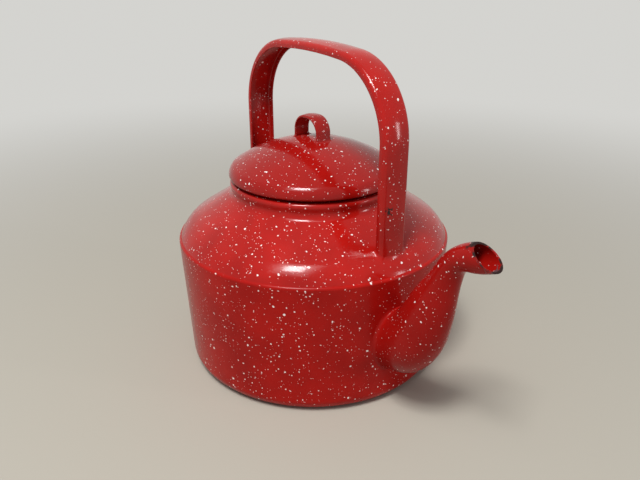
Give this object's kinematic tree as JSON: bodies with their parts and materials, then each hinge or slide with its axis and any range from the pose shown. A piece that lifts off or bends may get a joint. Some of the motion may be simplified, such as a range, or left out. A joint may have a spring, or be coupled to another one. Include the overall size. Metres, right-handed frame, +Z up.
{
  "type": "gooseneck kettle",
  "caption": "Red speckled enamel stove kettle: tapered pot, cone shoulder, curved gooseneck spout, fixed strap handle arched over the top and a loose domed lid with a strap loop.",
  "frame": {"origin": "centre of the base, at the height of the ring it stands on", "axes": "+X from the pot's axis towards the spout, +Z up, Y across the handle's strap"},
  "size_m": [0.2617, 0.1898, 0.2228],
  "materials": {
    "speckled_enamel": "glossy red vitreous enamel on steel with irregular clusters of white specks"
  },
  "bodies": {
    "kettle": {"pot": "speckled_enamel", "shoulder": "speckled_enamel", "spout_left_half": "speckled_enamel", "spout_right_half": "speckled_enamel", "handle_strap": "speckled_enamel"},
    "lid": {"lid_dome": "speckled_enamel", "lid_skirt": "speckled_enamel", "lid_loop": "speckled_enamel"}
  },
  "joints": [
    {"name": "lid_lift", "type": "slide", "parent": "kettle", "child": "lid", "axis": [0, 0, 1], "range_m": [0, 0.04]}
  ]
}
